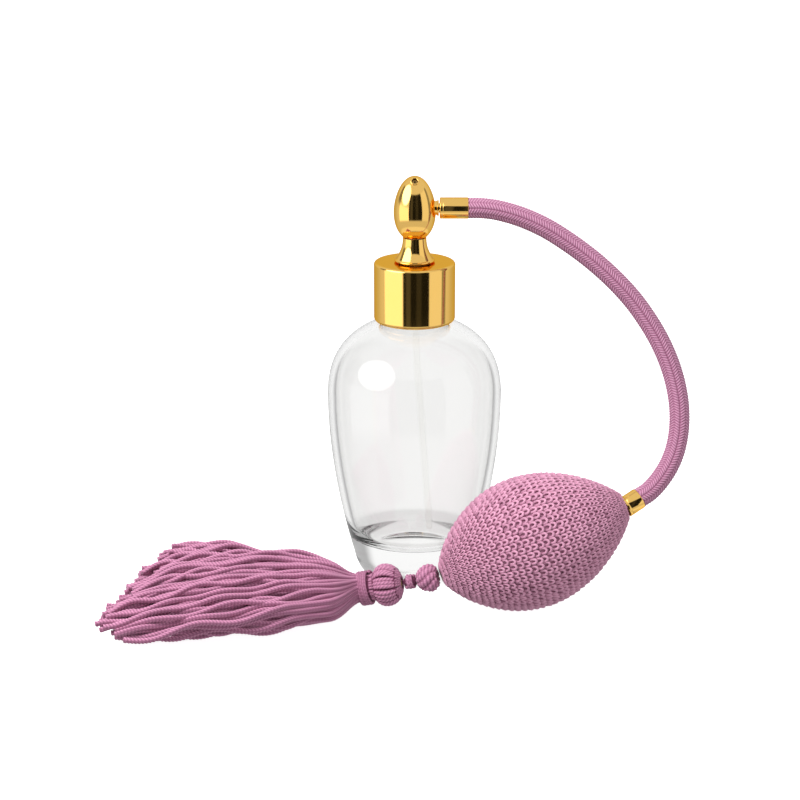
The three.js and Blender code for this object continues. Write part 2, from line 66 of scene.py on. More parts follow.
BODY_RADIUS = 30.1
WIDEST_HEIGHT = 66
HEEL_RADIUS = 21.1
HEEL_HEIGHT = 8
FOOT_RADIUS = 14.5
GLASS_WALL = 2.75
FLOOR_HEIGHT = 13.8
FLOOR_RADIUS = 14.3
SHOULDER_TOP = 91.5
NECK_RADIUS = 10.8
NECK_BORE = 8
NECK_TOP = 106.7

COLLAR_RADIUS = 14
COLLAR_BOTTOM = 91.8
COLLAR_TOP = 112.6
STEM_BOTTOM = COLLAR_TOP + GAP
STEM_TOP = 121.05
STEM_FOOT = 6.9
STEM_WAIST = 4.05
HEAD_BOTTOM = STEM_TOP + GAP
HEAD_TOP = 142.4
HEAD_RADIUS = 7.2
HEAD_WIDEST = 130
HEAD_WALL = 0.9
SPRAY_POINT = np.array([0, -3, HEAD_TOP - 1.25])
SPRAY_TILT = math.radians(42)
SPRAY_RADIUS = 1.0
NIPPLE_HEIGHT = 131.3
NIPPLE_RADIUS = 2.4

HOSE_RADIUS = 3.45
FERRULE_RADIUS = 3.65
FERRULE_START = HEAD_RADIUS + 1.3
HEAD_FERRULE = 9.7
BULB_FERRULE = 6
FERRULE_AXIS = np.array([0.829852, 0.329941, 0.449919])

BULB_RADIUS = 22.2
BULB_LENGTH = 70
BULB_AXIS = np.array([0.932876, 0.198289, 0.300706])
EGG_SKEW = 0.93
EGG_FULLNESS = 0.67
TAIL_HOLE = 2.5
HOSE_HOLE = FERRULE_RADIUS + 0.95
BLADDER_HOLE = 3.6
BULB_X = BODY_RADIUS + 10.9
BULB_Y = -33

TASSEL_NECK = np.array([-1.5, -38.3, 10.2])
TASSEL_AXIS = np.array([-13.7, 2.6, -3.1])
TASSEL_AXIS = TASSEL_AXIS / np.linalg.norm(TASSEL_AXIS)
TASSEL_RADIUS = 7.4
TASSEL_HALF = 5.2
WRAP_RADIUS = 2.65
PIVOT_CLEARANCE = WRAP_RADIUS + GAP
HEAD_CENTRE = PIVOT_CLEARANCE + TASSEL_HALF
TIE_START = HEAD_CENTRE + TASSEL_HALF + GAP
TIE_RADIUS = 6.1
TIE_LENGTH = 4

# The hose's centre line, the same points as the CAD route.
HOSE_ROUTE = [
    (18.5, 0, 131.3), (23.5, 0, 131.2), (29, -0.2, 130.4), (36.5, -0.5, 128.2),
    (44.4, -1, 124.7), (51.8, -1.7, 120.2), (59, -2.7, 115.1), (65.5, -3.7, 109.7),
    (71, -4.8, 104.4), (75.5, -5.8, 99.3), (79.1, -6.9, 94.4), (82.2, -8, 89.6),
    (84.8, -9.2, 84.8), (87, -10.4, 79.8), (88.7, -11.6, 74.8), (89.9, -12.9, 69.8),
    (90.6, -14.2, 64.7), (90.7, -15.6, 59.6), (90.2, -17, 54.8), (89, -18.6, 50),
    (86.9, -20.3, 45.4), (83.9, -21.9, 41.1), (80.5, -23.4, 37.7), (76.97, -24.74, 35.64),
]


# ---- node trees ----

class Nodes:
    """Short calls for building a node tree."""

    def __init__(self, tree):
        self.tree = tree
        tree.nodes.clear()

    def feed(self, socket, value):
        if isinstance(value, bpy.types.NodeSocket):
            self.tree.links.new(value, socket)
        else:
            socket.default_value = value

    def add(self, kind, inputs, **settings):
        node = self.tree.nodes.new(kind)
        for name, value in settings.items():
            setattr(node, name, value)
        for name, value in inputs.items():
            self.feed(node.inputs[name], value)
        return node

    def math(self, operation, *values):
        node = self.tree.nodes.new("ShaderNodeMath")
        node.operation = operation
        for socket, value in zip(node.inputs, values):
            self.feed(socket, value)
        return node.outputs[0]

    def window(self, value, low, high, soft):
        """1 between low and high, falling smoothly to 0 over a distance soft outside."""
        rise = self.add("ShaderNodeMapRange", {"Value": value, "From Min": low - soft,
                        "From Max": low}, interpolation_type="SMOOTHSTEP").outputs[0]
        fall = self.add("ShaderNodeMapRange", {"Value": value, "From Min": high + soft,
                        "From Max": high}, interpolation_type="SMOOTHSTEP").outputs[0]
        return self.math("MULTIPLY", rise, fall)

    def mix(self, factor, a, b):
        node = self.tree.nodes.new("ShaderNodeMix")
        node.data_type = "RGBA"
        self.feed(node.inputs["Factor"], factor)
        self.feed(node.inputs[6], a)
        self.feed(node.inputs[7], b)
        return node.outputs[2]

    def noise(self, scale, detail=3.0, roughness=0.5):
        place = self.add("ShaderNodeTexCoord", {}).outputs["Object"]
        return self.add("ShaderNodeTexNoise", {"Vector": place, "Scale": scale,
                        "Detail": detail, "Roughness": roughness}).outputs["Fac"]

    def bump(self, height, distance):
        return self.add("ShaderNodeBump", {"Height": height, "Distance": distance}).outputs[0]

    def finish(self, kind, shader):
        """Ends the tree in an output node."""
        output = self.add(kind, {})
        self.tree.links.new(shader.outputs[0], output.inputs["Surface"])


def new_material(name):
    material = bpy.data.materials.new(name)
    material.use_nodes = True
    return material, Nodes(material.node_tree)


def surface(nodes, inputs):
    """Ends a material in a Principled shader."""
    nodes.finish("ShaderNodeOutputMaterial", nodes.add("ShaderNodeBsdfPrincipled", inputs))


def grained(name, light, dark, roughness, scale, bump=0.0, **inputs):
    """A plain finish that varies a little in colour and gloss."""
    material, nodes = new_material(name)
    grain = nodes.noise(scale)
    spread = 0.04
    gloss = nodes.math("MULTIPLY_ADD", grain, 2 * spread, roughness - spread)
    values = {"Base Color": nodes.mix(grain, dark, light), "Roughness": gloss, **inputs}
    if bump:
        values["Normal"] = nodes.bump(grain, bump)
    surface(nodes, values)
    return material


def yarn(name, light, dark, fibre_scale, fibre_height):
    """Mercerised cotton with fine fibres and a soft sheen. A per-point painted shade darkens it
    towards its dark colour between its stitches.
    """
    material, nodes = new_material(name)
    # Painted shade: a per-point value stored on the mesh mixes the yarn towards its dark colour
    # in the hollows between stitches.
    painted_shade = nodes.add("ShaderNodeAttribute", {}, attribute_name="painted_shade").outputs["Fac"]
    patches = nodes.noise(90.0, 2.0)
    fibres = nodes.noise(fibre_scale, 4.0, 0.6)
    fibre_shade = 0.5
    shade = nodes.math("MULTIPLY_ADD", fibres, fibre_shade, painted_shade)
    shade = nodes.math("SUBTRACT", shade, fibre_shade / 2)
    red, green, blue, _ = light
    worn = nodes.mix(patches, (0.9 * red, 0.9 * green, 0.9 * blue, 1), light)
    surface(nodes, {
        "Base Color": nodes.mix(shade, worn, dark), "Roughness": 0.82,
        "Specular IOR Level": 0.25, "Sheen Weight": 0.22, "Sheen Roughness": 0.4,
        "Sheen Tint": (1, 0.82, 0.94, 1), "Normal": nodes.bump(fibres, fibre_height),
    })
    return material


def glass_material():
    material, nodes = new_material("clear_glass")
    ripple = nodes.noise(28.0, 1.0)
    surface(nodes, {
        "Base Color": (0.997, 0.996, 0.99, 1), "Roughness": 0.0, "IOR": 1.5,
        "Transmission Weight": 1.0, "Normal": nodes.bump(ripple, 0.0001),
    })
    return material


def wood_material():
    material, nodes = new_material("bead_wood")
    rings = nodes.noise(260.0, 2.0)
    surface(nodes, {"Base Color": nodes.mix(rings, (0.30, 0.16, 0.07, 1), (0.62, 0.42, 0.24, 1)),
                    "Roughness": 0.6})
    return material


GLASS = glass_material()
GOLD = grained("polished_gold", (1.0, 0.64, 0.19, 1), (0.98, 0.60, 0.15, 1), 0.085, 60.0,
               2e-5, **{"Metallic": 1.0, "Specular Tint": (0.88, 0.62, 0.28, 1)})
BRASS = grained("dark_brass", (0.42, 0.27, 0.09, 1), (0.30, 0.18, 0.06, 1), 0.3, 300.0,
                Metallic=1.0)
STEEL = grained("steel", (0.62, 0.63, 0.65, 1), (0.5, 0.51, 0.53, 1), 0.22, 400.0,
                Metallic=1.0)
WHITE_PLASTIC = grained("white_plastic", (0.86, 0.86, 0.84, 1), (0.8, 0.8, 0.77, 1), 0.4, 500.0,
                        2e-5)
CLEAR_PLASTIC = grained("clear_plastic", (0.99, 0.99, 0.985, 1), (0.97, 0.97, 0.96, 1), 0.1,
                        300.0, 2e-5, **{"Transmission Weight": 1.0, "IOR": 1.02})
RUBBER = grained("rubber", (0.22, 0.13, 0.18, 1), (0.15, 0.09, 0.12, 1), 0.7, 700.0, 5e-5)
SEAL = grained("seal", (0.68, 0.66, 0.6, 1), (0.6, 0.58, 0.52, 1), 0.6, 600.0, 3e-5)
WOOD = wood_material()
# Each yarn's second colour is its painted shade colour, which the hollows between stitches are
# darkened towards.
BRAID = yarn("braid", (0.72, 0.37, 0.54, 1), (0.24, 0.07, 0.14, 1), 3200.0, 6e-5)
KNIT = yarn("knit", (0.74, 0.37, 0.52, 1), (0.20, 0.055, 0.11, 1), 3400.0, 8e-5)
YARN = yarn("tassel_yarn", (0.72, 0.32, 0.50, 1), (0.13, 0.03, 0.07, 1), 3200.0, 8e-5)


# ---- geometry helpers ----

def unit(vector):
    return np.asarray(vector, float) / np.linalg.norm(vector)


def bezier(p0, p1, p2, p3, count):
    t = np.linspace(0, 1, count + 1)[:, None]
    corners = [np.array(p, float) for p in (p0, p1, p2, p3)]
    weights = [(1 - t) ** 3, 3 * t * (1 - t) ** 2, 3 * t * t * (1 - t), t ** 3]
    return sum(w * p for w, p in zip(weights, corners))


def arc(centre, radii, start, end, count):
    """Points of an ellipse from one angle to another, in degrees."""
    angle = np.radians(np.linspace(start, end, count + 1))
    return np.stack([centre[0] + radii[0] * np.cos(angle),
                     centre[1] + radii[1] * np.sin(angle)], 1)


def inset(outline, wall):
    """An outline moved inwards along its normals."""
    step = np.gradient(outline, axis=0)
    step /= np.linalg.norm(step, axis=1)[:, None]
    return outline + wall * np.stack([-step[:, 1], step[:, 0]], 1)


def placed(points, origin, direction):
    """Points made about +Z, moved so that +Z points along direction from origin."""
    turn = Vector((0, 0, 1)).rotation_difference(Vector(direction)).to_matrix()
    return np.asarray(points) @ np.array(turn).T + np.asarray(origin)


def along_curve(points, count):
    """A Catmull-Rom curve through the points, as count points an equal distance apart."""
    p = np.asarray(points, float)
    p = np.concatenate([[2 * p[0] - p[1]], p, [2 * p[-1] - p[-2]]])
    t = np.linspace(0, 1, 40, endpoint=False)[:, None]
    spans = []
    for a, b, c, d in zip(p, p[1:], p[2:], p[3:]):
        spans.append(0.5 * (2 * b + (c - a) * t + (2 * a - 5 * b + 4 * c - d) * t ** 2
                            + (3 * b - a - 3 * c + d) * t ** 3))
    fine = np.concatenate([*spans, [p[-2]]])
    gone = np.concatenate([[0], np.cumsum(np.linalg.norm(np.diff(fine, axis=0), axis=1))])
    even = np.linspace(0, gone[-1], count)
    return np.stack([np.interp(even, gone, fine[:, i]) for i in range(3)], 1)


def lathe(outline, segments=144, closed=True):
    """An outline of (radius, height) turned about Z. A closed one joins its last point to
    its first, and an open one starts and ends on the axis."""
    outline = np.array(outline, float)
    angle = np.linspace(0, TURN, segments, endpoint=False)
    points = np.stack([outline[:, :1] * np.cos(angle), outline[:, :1] * np.sin(angle),
                       np.repeat(outline[:, 1:], segments, 1)], 2).reshape(-1, 3)
    rows = len(outline) if closed else len(outline) - 1
    row, column = np.meshgrid(np.arange(rows), np.arange(segments), indexing="ij")
    above, beside = (row + 1) % len(outline), (column + 1) % segments
    faces = np.stack([row * segments + column, row * segments + beside,
                      above * segments + beside, above * segments + column], 2)
    return points, faces.reshape(-1, 4).tolist()


def sweep(paths, radius, sides):
    """Closed tubes about several paths of the same number of points. radius is a number or
    an array of one value for each path, point and side."""
    paths = np.asarray(paths, float)
    count, length, _ = paths.shape
    tangent = np.gradient(paths, axis=1)
    tangent /= np.linalg.norm(tangent, axis=2, keepdims=True)
    normal = np.empty_like(paths)
    start = np.cross(tangent[:, 0], (0.31, 0.17, 0.93))
    normal[:, 0] = start / np.linalg.norm(start, axis=1, keepdims=True)
    for i in range(1, length):
        ahead = tangent[:, i]
        moved = normal[:, i - 1] - ahead * np.sum(normal[:, i - 1] * ahead, 1, keepdims=True)
        normal[:, i] = moved / np.linalg.norm(moved, axis=1, keepdims=True)
    side = np.cross(tangent, normal)
    angle = np.linspace(0, TURN, sides, endpoint=False)[:, None]
    ring = normal[:, :, None] * np.cos(angle) + side[:, :, None] * np.sin(angle)
    reach = np.broadcast_to(radius, (count, length, sides))[..., None]
    points = (paths[:, :, None] + reach * ring).reshape(-1, 3)
    tube, row, column = np.meshgrid(np.arange(count), np.arange(length - 1), np.arange(sides),
                                    indexing="ij")
    first = (tube * length + row) * sides
    beside = (column + 1) % sides
    quads = np.stack([first + column, first + beside, first + sides + beside,
                      first + sides + column], 3)
    caps = []
    for i in range(count):
        low, high = i * length * sides, (i * length + length - 1) * sides
        caps.append(list(range(low + sides - 1, low - 1, -1)))
        caps.append(list(range(high, high + sides)))
    return points, quads.reshape(-1, 4).tolist() + caps


def distances(paths):
    """How far along its path each point is."""
    steps = np.linalg.norm(np.diff(paths, axis=1), axis=2)
    return np.concatenate([np.zeros((len(steps), 1)), np.cumsum(steps, 1)], 1)


def stitches(angle, distance, columns, pitch, lean):
    """Height, 0 to 1, of a braid's slanted stitches, which lean one way and the other in
    turn from column to column, and how far each point is from its column's edge."""
    column = angle / TURN * columns
    across = column % 1 - 0.5
    way = np.where(np.floor(column) % 2 == 0, 1.0, -1.0)
    ridge = 0.5 + 0.5 * np.cos(TURN * (distance / pitch + way * lean * across))
    rib = np.clip(np.cos(math.pi * across), 0, 1) ** 0.4
    return ridge * rib, rib


def join(*parts):
    """Several (points, faces, painted shade per point) as one."""
    points, faces, painted_shades, used = [], [], [], 0
    for part_points, part_faces, painted_shade in parts:
        points.append(part_points)
        faces += [[used + i for i in face] for face in part_faces]
        painted_shades.append(np.broadcast_to(painted_shade, len(part_points)))
        used += len(part_points)
    return np.concatenate(points), faces, np.concatenate(painted_shades)


def mesh_piece(name, points, faces, material, painted_shade=None, sharp=40, weld=False):
    """A new smooth-shaded object. The optional per-point values are painted shade: how far each
    point's colour is darkened between stitches.
    """
    mesh = bpy.data.meshes.new(name)
    mesh.from_pydata((np.asarray(points) * MM).tolist(), [], faces)
    if painted_shade is not None:
        attribute = mesh.attributes.new("painted_shade", "FLOAT", "POINT")
        attribute.data.foreach_set("value", np.asarray(painted_shade, np.float32).ravel())
    if weld:
        work = bmesh.new()
        work.from_mesh(mesh)
        bmesh.ops.remove_doubles(work, verts=work.verts, dist=1e-7)
        bmesh.ops.recalc_face_normals(work, faces=work.faces)
        work.to_mesh(mesh)
        work.free()
    mesh.shade_smooth()
    if sharp:
        mesh.set_sharp_from_angle(angle=math.radians(sharp))
    mesh.materials.append(material)
    piece = bpy.data.objects.new(name, mesh)
    bpy.context.scene.collection.objects.link(piece)
    return piece


def turned(name, outline, material, origin=(0, 0, 0), direction=(0, 0, 1), segments=144,
           closed=True):
    points, faces = lathe(outline, segments, closed)
    return mesh_piece(name, placed(points, origin, direction), faces, material, weld=True)


def stand_for(piece, body, slot, *nodes):
    """A piece that rides on a body in place of CAD nodes."""
    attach(piece, body)
    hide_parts(*nodes)


# ---- camera ----

def make_camera():
    """A long lens in front of the bottle, looking a little down on it."""
    tilt = math.radians(17.05)
    data = bpy.data.cameras.new("camera")
    data.lens = 117
    data.sensor_width = 36
    camera = bpy.data.objects.new("camera", data)
    camera.location = (-0.005, -0.8648, 0.3282)
    camera.rotation_euler = (math.pi / 2 - tilt, 0, 0)
    bpy.context.scene.collection.objects.link(camera)
    bpy.context.scene.camera = camera


# ---- hose ----

def braided_tube(path, sides, radius, columns, pitch, lean, rib_depth, stitch_height):
    """A tube whose surface is a braid, as points, faces and a painted shade that darkens the low
    parts of its stitches.
    """
    paths = np.asarray(path)[None]
    angle = np.linspace(0, TURN, sides, endpoint=False)
    gone = distances(paths)[:, :, None]
    height, rib = stitches(angle[None, None], gone, columns, pitch, lean)
    reach = radius - rib_depth * (1 - rib) + stitch_height * (height - 1)
    points, faces = sweep(paths, reach, sides)
    # Painted shade: the lower a point lies in the braid, the darker it is painted.
    painted_shade = np.clip(0.9 - 0.9 * height, 0, 1).ravel()
    return points, faces, painted_shade


def make_hose():
    entry = 1.6                              # how far the braid runs into each ferrule
    sunk = entry + GAP
    route = np.array(HOSE_ROUTE, float)
    ends = [route[0] - sunk * np.array([1.0, 0, 0]), route[-1] - sunk * FERRULE_AXIS]
    path = along_curve([ends[0], *route, ends[1]], 980)
    gone = distances(path[None])[0]
    from_end = np.minimum(gone, gone[-1] - gone)[None, :, None]
    pinch = 0.3 * (1 - np.clip(from_end / sunk, 0, 1))
    points, faces, painted_shade = braided_tube(
        path, sides=96, radius=HOSE_RADIUS + 0.08 - pinch, columns=10, pitch=0.95, lean=1.3,
        rib_depth=0.16, stitch_height=0.24)
    sleeve = mesh_piece("hose_braid", points, faces, BRAID, painted_shade)
    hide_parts("hose_sleeve")
    inner = along_curve([ends[0] - [6.5, 0, 0], *route, ends[1] - 3 * FERRULE_AXIS], 120)
    points, faces = sweep(inner[None], HOSE_RADIUS - 0.8, 24)
    tube = mesh_piece("hose_rubber_tube", points, faces, RUBBER)
    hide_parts("hose_tube")
    for piece in (sleeve, tube):
        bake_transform(piece)


# ---- bottle ----

def make_bottle():
    heel = bezier((FOOT_RADIUS, 0), (FOOT_RADIUS + 3.6, 0.1), (HEEL_RADIUS - 0.9, 3.4),
                  (HEEL_RADIUS, HEEL_HEIGHT), 16)
    flank = bezier((HEEL_RADIUS, HEEL_HEIGHT), (BODY_RADIUS - 4.3, HEEL_HEIGHT + 16),
                   (BODY_RADIUS, WIDEST_HEIGHT - 21), (BODY_RADIUS, WIDEST_HEIGHT), 40)
    shoulder = bezier((BODY_RADIUS, WIDEST_HEIGHT), (BODY_RADIUS, SHOULDER_TOP - 11.5),
                      (NECK_RADIUS + 12.2, SHOULDER_TOP - 3.9), (NECK_RADIUS + 1.4, SHOULDER_TOP),
                      32)
    outside = np.concatenate([heel, flank[1:], shoulder[1:]])
    fillet = arc((NECK_RADIUS + 1.2, SHOULDER_TOP + 1.3), (1.2, 1.2), 260, 180, 5)
    neck = [(NECK_RADIUS, NECK_TOP - 2.4), (NECK_RADIUS + 0.5, NECK_TOP - 2),
            *arc((NECK_RADIUS, NECK_TOP - 0.5), (0.5, 0.5), 0, 90, 5),
            *arc((NECK_BORE + 0.4, NECK_TOP - 0.4), (0.4, 0.4), 90, 180, 4)]
    low = FLOOR_HEIGHT + 7                     # the cavity's wall meets its curved floor here
    cavity = inset(outside, GLASS_WALL)
    cavity = cavity[(cavity[:, 1] > low) & (np.arange(len(cavity)) > len(heel))
                    & (cavity[:, 0] > NECK_BORE + 1)]
    floor = bezier((FLOOR_RADIUS, FLOOR_HEIGHT), (FLOOR_RADIUS + 4.2, FLOOR_HEIGHT),
                   (cavity[0][0] - 1.4, FLOOR_HEIGHT + 1.6), cavity[0], 14)[:-1]
    dish = bezier((0, FLOOR_HEIGHT), (5, FLOOR_HEIGHT), (11, FLOOR_HEIGHT - 0.2), floor[0],
                  8)[1:-1]
    # The foot is slightly hollow, so the bottle stands on a ring.
    foot = bezier((0, 0.9), (6, 0.9), (10, 0.7), (FOOT_RADIUS - 1.4, 0), 12)
    outline = np.concatenate([foot, outside, fillet, neck, [(NECK_BORE, SHOULDER_TOP - 1.5)],
                              cavity[::-1], floor[::-1], dish[::-1], [(0, FLOOR_HEIGHT)]])
    bottle = turned("bottle_glass", outline, GLASS, segments=192, closed=False)
    stand_for(bottle, "bottle", "bottle_glass", "glass_bottle")
    thread_start, thread_pitch, thread_radius = COLLAR_BOTTOM + 4.7, 3, 0.8
    turns = np.linspace(0, 1.5, 80)
    thread = np.stack([NECK_RADIUS * np.cos(TURN * turns), NECK_RADIUS * np.sin(TURN * turns),
                       thread_start + thread_pitch * turns], 1)
    points, faces = sweep(thread[None], thread_radius, 10)
    ridge = mesh_piece("bottle_neck_thread", points, faces, GLASS)
    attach(ridge, "bottle")


def make_dip_tube():
    top, tip, radius, bore_radius = COLLAR_TOP - 0.9, FLOOR_HEIGHT + 2.5, 1.35, 0.85
    path = along_curve([(0, 0, top), (0, 0, 98), (0.9, 0, 78), (3, 0, 50), (5.4, 0, tip)], 90)
    outer, faces = sweep(path[None], radius, 32)
    bore, inside = sweep(path[None], bore_radius, 32)
    inside = [face[::-1] for face in inside]
    points, faces, _ = join((outer, faces, 0), (bore, inside, 0))
    tube = mesh_piece("dip_tube_clear", points, faces, CLEAR_PLASTIC)
    stand_for(tube, "insert", "clear_plastic", "dip_tube")


# ---- gold closure and head ----

def make_collar():
    wall, curl, edge = 0.7, 1.4, 1.0
    hole, round_off, top_wall = 5.3, 0.3, 0.8
    inner = COLLAR_RADIUS - wall
    lip = COLLAR_RADIUS - curl
    outline = [
        *arc((lip, COLLAR_BOTTOM + curl), (curl, curl), -90, 0, 12),
        *arc((COLLAR_RADIUS - edge, COLLAR_TOP - edge), (edge, edge), 0, 90, 12),
        *arc((hole + round_off, COLLAR_TOP - round_off), (round_off, round_off), 90, 180, 4),
        (hole, COLLAR_TOP - top_wall), (inner, COLLAR_TOP - top_wall),
        (inner, COLLAR_BOTTOM + curl + 0.3), (lip, COLLAR_BOTTOM + wall),
    ]
    collar = turned("collar_gold", outline, GOLD, segments=192)
    stand_for(collar, "collar", "gold", "collar_shell")


def make_stem():
    bore, recess = 3.3, 5.3
    rim = STEM_FOOT - 0.25
    outline = [
        (recess, STEM_BOTTOM), (rim, STEM_BOTTOM),
        *arc((rim, STEM_BOTTOM + 0.3), (0.25, 0.3), -80, 80, 8),
        *bezier((STEM_FOOT - 0.55, STEM_BOTTOM + 0.75), (STEM_FOOT - 1.7, STEM_TOP - 5.3),
                (STEM_WAIST, STEM_TOP - 3.5), (STEM_WAIST, STEM_TOP), 30),
        (bore, STEM_TOP), (bore, STEM_BOTTOM + 1.4), (recess, STEM_BOTTOM + 0.4),
    ]
    stem = turned("stem_gold", outline, GOLD, segments=160)
    stand_for(stem, "head", "gold", "head_stem")


def rod(radius, bottom, top):
    """The outline of a plain cylinder, for an open lathe."""
    return [(0, bottom), (radius, bottom), (radius, top), (0, top)]


def cut(piece, cutter):
    """Cuts one mesh out of another."""
    modifier = piece.modifiers.new("cut", "BOOLEAN")
    modifier.object = cutter
    modifier.operation = "DIFFERENCE"
    modifier.solver = "EXACT"
    result = piece.evaluated_get(bpy.context.evaluated_depsgraph_get())
    mesh = bpy.data.meshes.new_from_object(result)
    piece.modifiers.clear()
    piece.data = mesh
    bpy.data.objects.remove(cutter)


def make_head():
    outside = np.concatenate([
        bezier((STEM_WAIST, HEAD_BOTTOM), (HEAD_RADIUS - 1.2, HEAD_BOTTOM + 1.8),
               (HEAD_RADIUS, HEAD_BOTTOM + 4.6), (HEAD_RADIUS, HEAD_WIDEST), 30),
        bezier((HEAD_RADIUS, HEAD_WIDEST), (HEAD_RADIUS, HEAD_WIDEST + 4.5),
               (HEAD_RADIUS - 2.4, HEAD_TOP), (0, HEAD_TOP), 48)[1:],
    ])
    inside = inset(outside, HEAD_WALL)[::-1]
    inside[0, 0] = 0
    inside[-1] = (STEM_WAIST - 0.7, HEAD_BOTTOM)
    head = turned("head_gold", [*outside, *inside], GOLD, segments=192)
    spray_axis = np.array([0, -math.cos(SPRAY_TILT), math.sin(SPRAY_TILT)])
    hole = rod(SPRAY_RADIUS + GAP, -3, 3)
    cut(head, turned("hole", hole, GOLD, SPRAY_POINT, spray_axis, segments=48, closed=False))
    side_hole = rod(NIPPLE_RADIUS - 0.1, 2, 10)
    cut(head, turned("side", side_hole, GOLD, (0, 0, NIPPLE_HEIGHT), (1, 0, 0), segments=48,
                     closed=False))
    head.data.shade_smooth()
    head.data.set_sharp_from_angle(angle=math.radians(40))
    stand_for(head, "head", "gold", "head_shell")
    rim_radius = SPRAY_RADIUS + 0.28
    rim = turned("spray_rim", arc((rim_radius, 0), (0.3, 0.26), 0, 345, 23), GOLD,
                 SPRAY_POINT + 0.1 * spray_axis, spray_axis, 64)
    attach(rim, "head")


def ferrule_outline(start, length):
    """A crimped tube: closed round the barb at its start, open to the braid at its end."""
    end, edge, wall, hole = start + length, 0.35, 0.22, 2.1
    return [
        (hole, start), *arc((FERRULE_RADIUS - edge, start + edge), (edge, edge), -90, 0, 6),
        (FERRULE_RADIUS, start + 1.0), (FERRULE_RADIUS - 0.05, start + 1.1),
        (FERRULE_RADIUS, start + 1.2),
        *arc((FERRULE_RADIUS - wall / 2, end - wall), (wall / 2, wall), 0, 180, 6),
        (FERRULE_RADIUS - wall, start + 0.6), (hole, start + 0.6),
    ]


def make_fittings():
    nipple_end = FERRULE_START - GAP
    nipple = turned("nipple_gold", [
        (0.8, HEAD_RADIUS - 2.2), (NIPPLE_RADIUS, HEAD_RADIUS - 2.2),
        (NIPPLE_RADIUS, nipple_end - 0.6), (NIPPLE_RADIUS + 0.3, nipple_end - 0.5),
        (NIPPLE_RADIUS + 0.3, nipple_end), (1.6, nipple_end), (1.6, nipple_end + 5.6),
        (1.8, nipple_end + 5.6), (1.6, nipple_end + 6.8), (1.8, nipple_end + 6.8),
        (1.3, nipple_end + 8), (0.8, nipple_end + 8),
    ], GOLD, (0, 0, NIPPLE_HEIGHT), (1, 0, 0), 96)
    stand_for(nipple, "head", "gold", "air_nipple")
    ferrule = turned("ferrule_head", ferrule_outline(FERRULE_START, HEAD_FERRULE), GOLD,
                     (0, 0, NIPPLE_HEIGHT), (1, 0, 0), 128)
    stand_for(ferrule, "head", "gold", "head_ferrule")
    ferrule = turned("ferrule_bulb", ferrule_outline(-BULB_FERRULE - GAP, BULB_FERRULE), GOLD,
                     HOSE_ROUTE[-1], FERRULE_AXIS, 128)
    stand_for(ferrule, "bulb", "gold", "bulb_ferrule")


# ---- bulb ----

def egg(fraction, radius, length):
    """(radius, height) on the bulb's outline, from its tail to its hose end."""
    reach = radius * np.sin(math.pi * np.asarray(fraction) ** EGG_SKEW) ** EGG_FULLNESS
    return np.stack([reach, (np.asarray(fraction) - 0.5) * length], -1)


def egg_fraction(hole, radius, at_tail):
    """Where the egg is as wide as a hole."""
    turn = math.asin((hole / radius) ** (1 / EGG_FULLNESS)) / math.pi
    return (turn if at_tail else 1 - turn) ** (1 / EGG_SKEW)


def egg_span(radius, hose_hole, count):
    ease = (1 - np.cos(math.pi * np.linspace(0, 1, count))) / 2
    low, high = egg_fraction(TAIL_HOLE, radius, True), egg_fraction(hose_hole, radius, False)
    return low + (high - low) * ease


def bulb_centre():
    """The bulb lies on the ground, so its centre is as high as its lowest flank needs."""
    reach, height = egg(egg_span(BULB_RADIUS, TAIL_HOLE, 61), BULB_RADIUS, BULB_LENGTH).T
    up = BULB_AXIS[2]
    level = math.sqrt(1 - up * up)
    return np.array([BULB_X, BULB_Y, float(np.max(reach * level - height * up))])


def knit_stitches():
    """Loops of yarn in courses round the bulb, each pulled through the one before."""
    columns, course = 58, 2.15
    fraction = egg_span(BULB_RADIUS, HOSE_HOLE, 600)
    outline = egg(fraction, BULB_RADIUS, BULB_LENGTH)
    gone = distances(outline[None])[0]
    slope = np.gradient(outline, axis=0)
    slope /= np.linalg.norm(slope, axis=1)[:, None]
    courses = int(gone[-1] / course)
    course = gone[-1] / courses
    # One stitch: across in columns, along in courses, and lift in yarn thicknesses.
    corners = np.array([
        (-0.10, -0.62, -0.9), (-0.30, -0.42, -0.35), (-0.36, -0.08, 0.25), (-0.27, 0.24, 0.75),
        (0.0, 0.42, 1.0), (0.27, 0.24, 0.75), (0.36, -0.08, 0.25), (0.30, -0.42, -0.35),
        (0.10, -0.62, -0.9),
    ])
    stitch = along_curve(corners, 15)
    row, column = np.meshgrid(np.arange(courses), np.arange(columns), indexing="ij")
    row, column = row.ravel()[:, None], column.ravel()[:, None]
    wobble = random.normal(0, 1, (len(row), 3))
    across = stitch[None, :, 0] * (1 + 0.10 * wobble[:, :1]) + 0.06 * wobble[:, 1:2]
    along = np.clip((row + 0.5 + stitch[None, :, 1] + 0.08 * wobble[:, 2:]) * course, 0,
                    gone[-1])
    reach, height, lean_r, lean_z = (np.interp(along, gone, v) for v in
                                     (*outline.T, *slope.T))
    pitch = TURN * reach / columns
    thickness = np.clip(0.20 * pitch, 0.16, 0.46)
    lift = thickness * (stitch[None, :, 2] - 0.55)
    skew = 0.012 * along                      # the wales drift a little round the bulb
    angle = TURN * (column + across + skew) / columns
    radius = reach + lift * lean_z
    paths = np.stack([radius * np.cos(angle), radius * np.sin(angle),
                      height - lift * lean_r], 2)
    points, faces = sweep(paths, thickness[:, :, None], 7)
    # Painted shade where a loop dips under its neighbours, plus tone that differs at random from
    # stitch to stitch.
    sunk_shade_and_tone = 0.34 - 0.34 * stitch[None, :, 2:3] + 0.09 * wobble[:, :1, None]
    painted_shade = np.broadcast_to(sunk_shade_and_tone.clip(0, 0.75), (len(row), len(stitch), 7)).ravel()
    return points, faces, painted_shade


